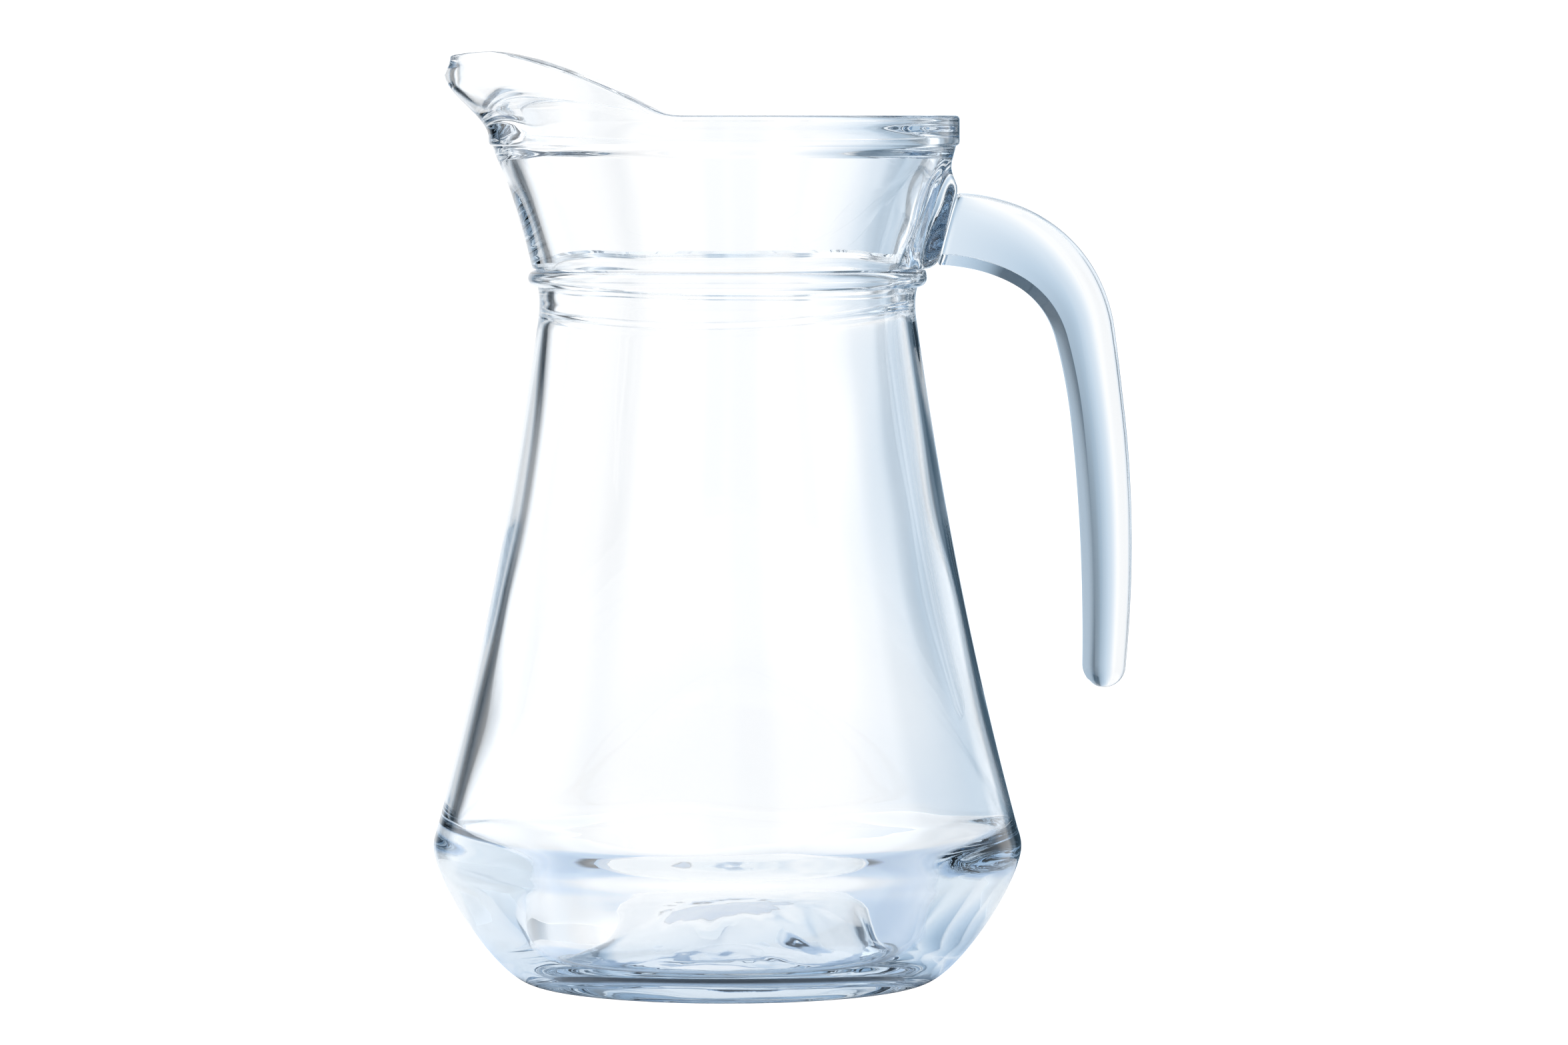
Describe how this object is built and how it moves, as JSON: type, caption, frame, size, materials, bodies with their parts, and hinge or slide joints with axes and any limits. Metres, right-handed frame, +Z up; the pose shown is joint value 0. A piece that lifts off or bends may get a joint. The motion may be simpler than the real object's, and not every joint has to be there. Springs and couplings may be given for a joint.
{
  "type": "water jug",
  "caption": "Clear glass water jug with a flared body, ringed neck, raised pouring spout and a handle welded at the top and free at its lower end.",
  "frame": {"origin": "centre of the ring the jug stands on, on the jug's axis", "axes": "+Z up along the jug's axis, spout along -X, handle along +X"},
  "size_m": [0.1763, 0.1488, 0.2345],
  "materials": {
    "blown_glass": "clear, fire-polished",
    "pressed_glass": "clear, fire-polished"
  },
  "bodies": {
    "root": {"jug_body": "blown_glass", "handle": "pressed_glass"}
  },
  "joints": []
}
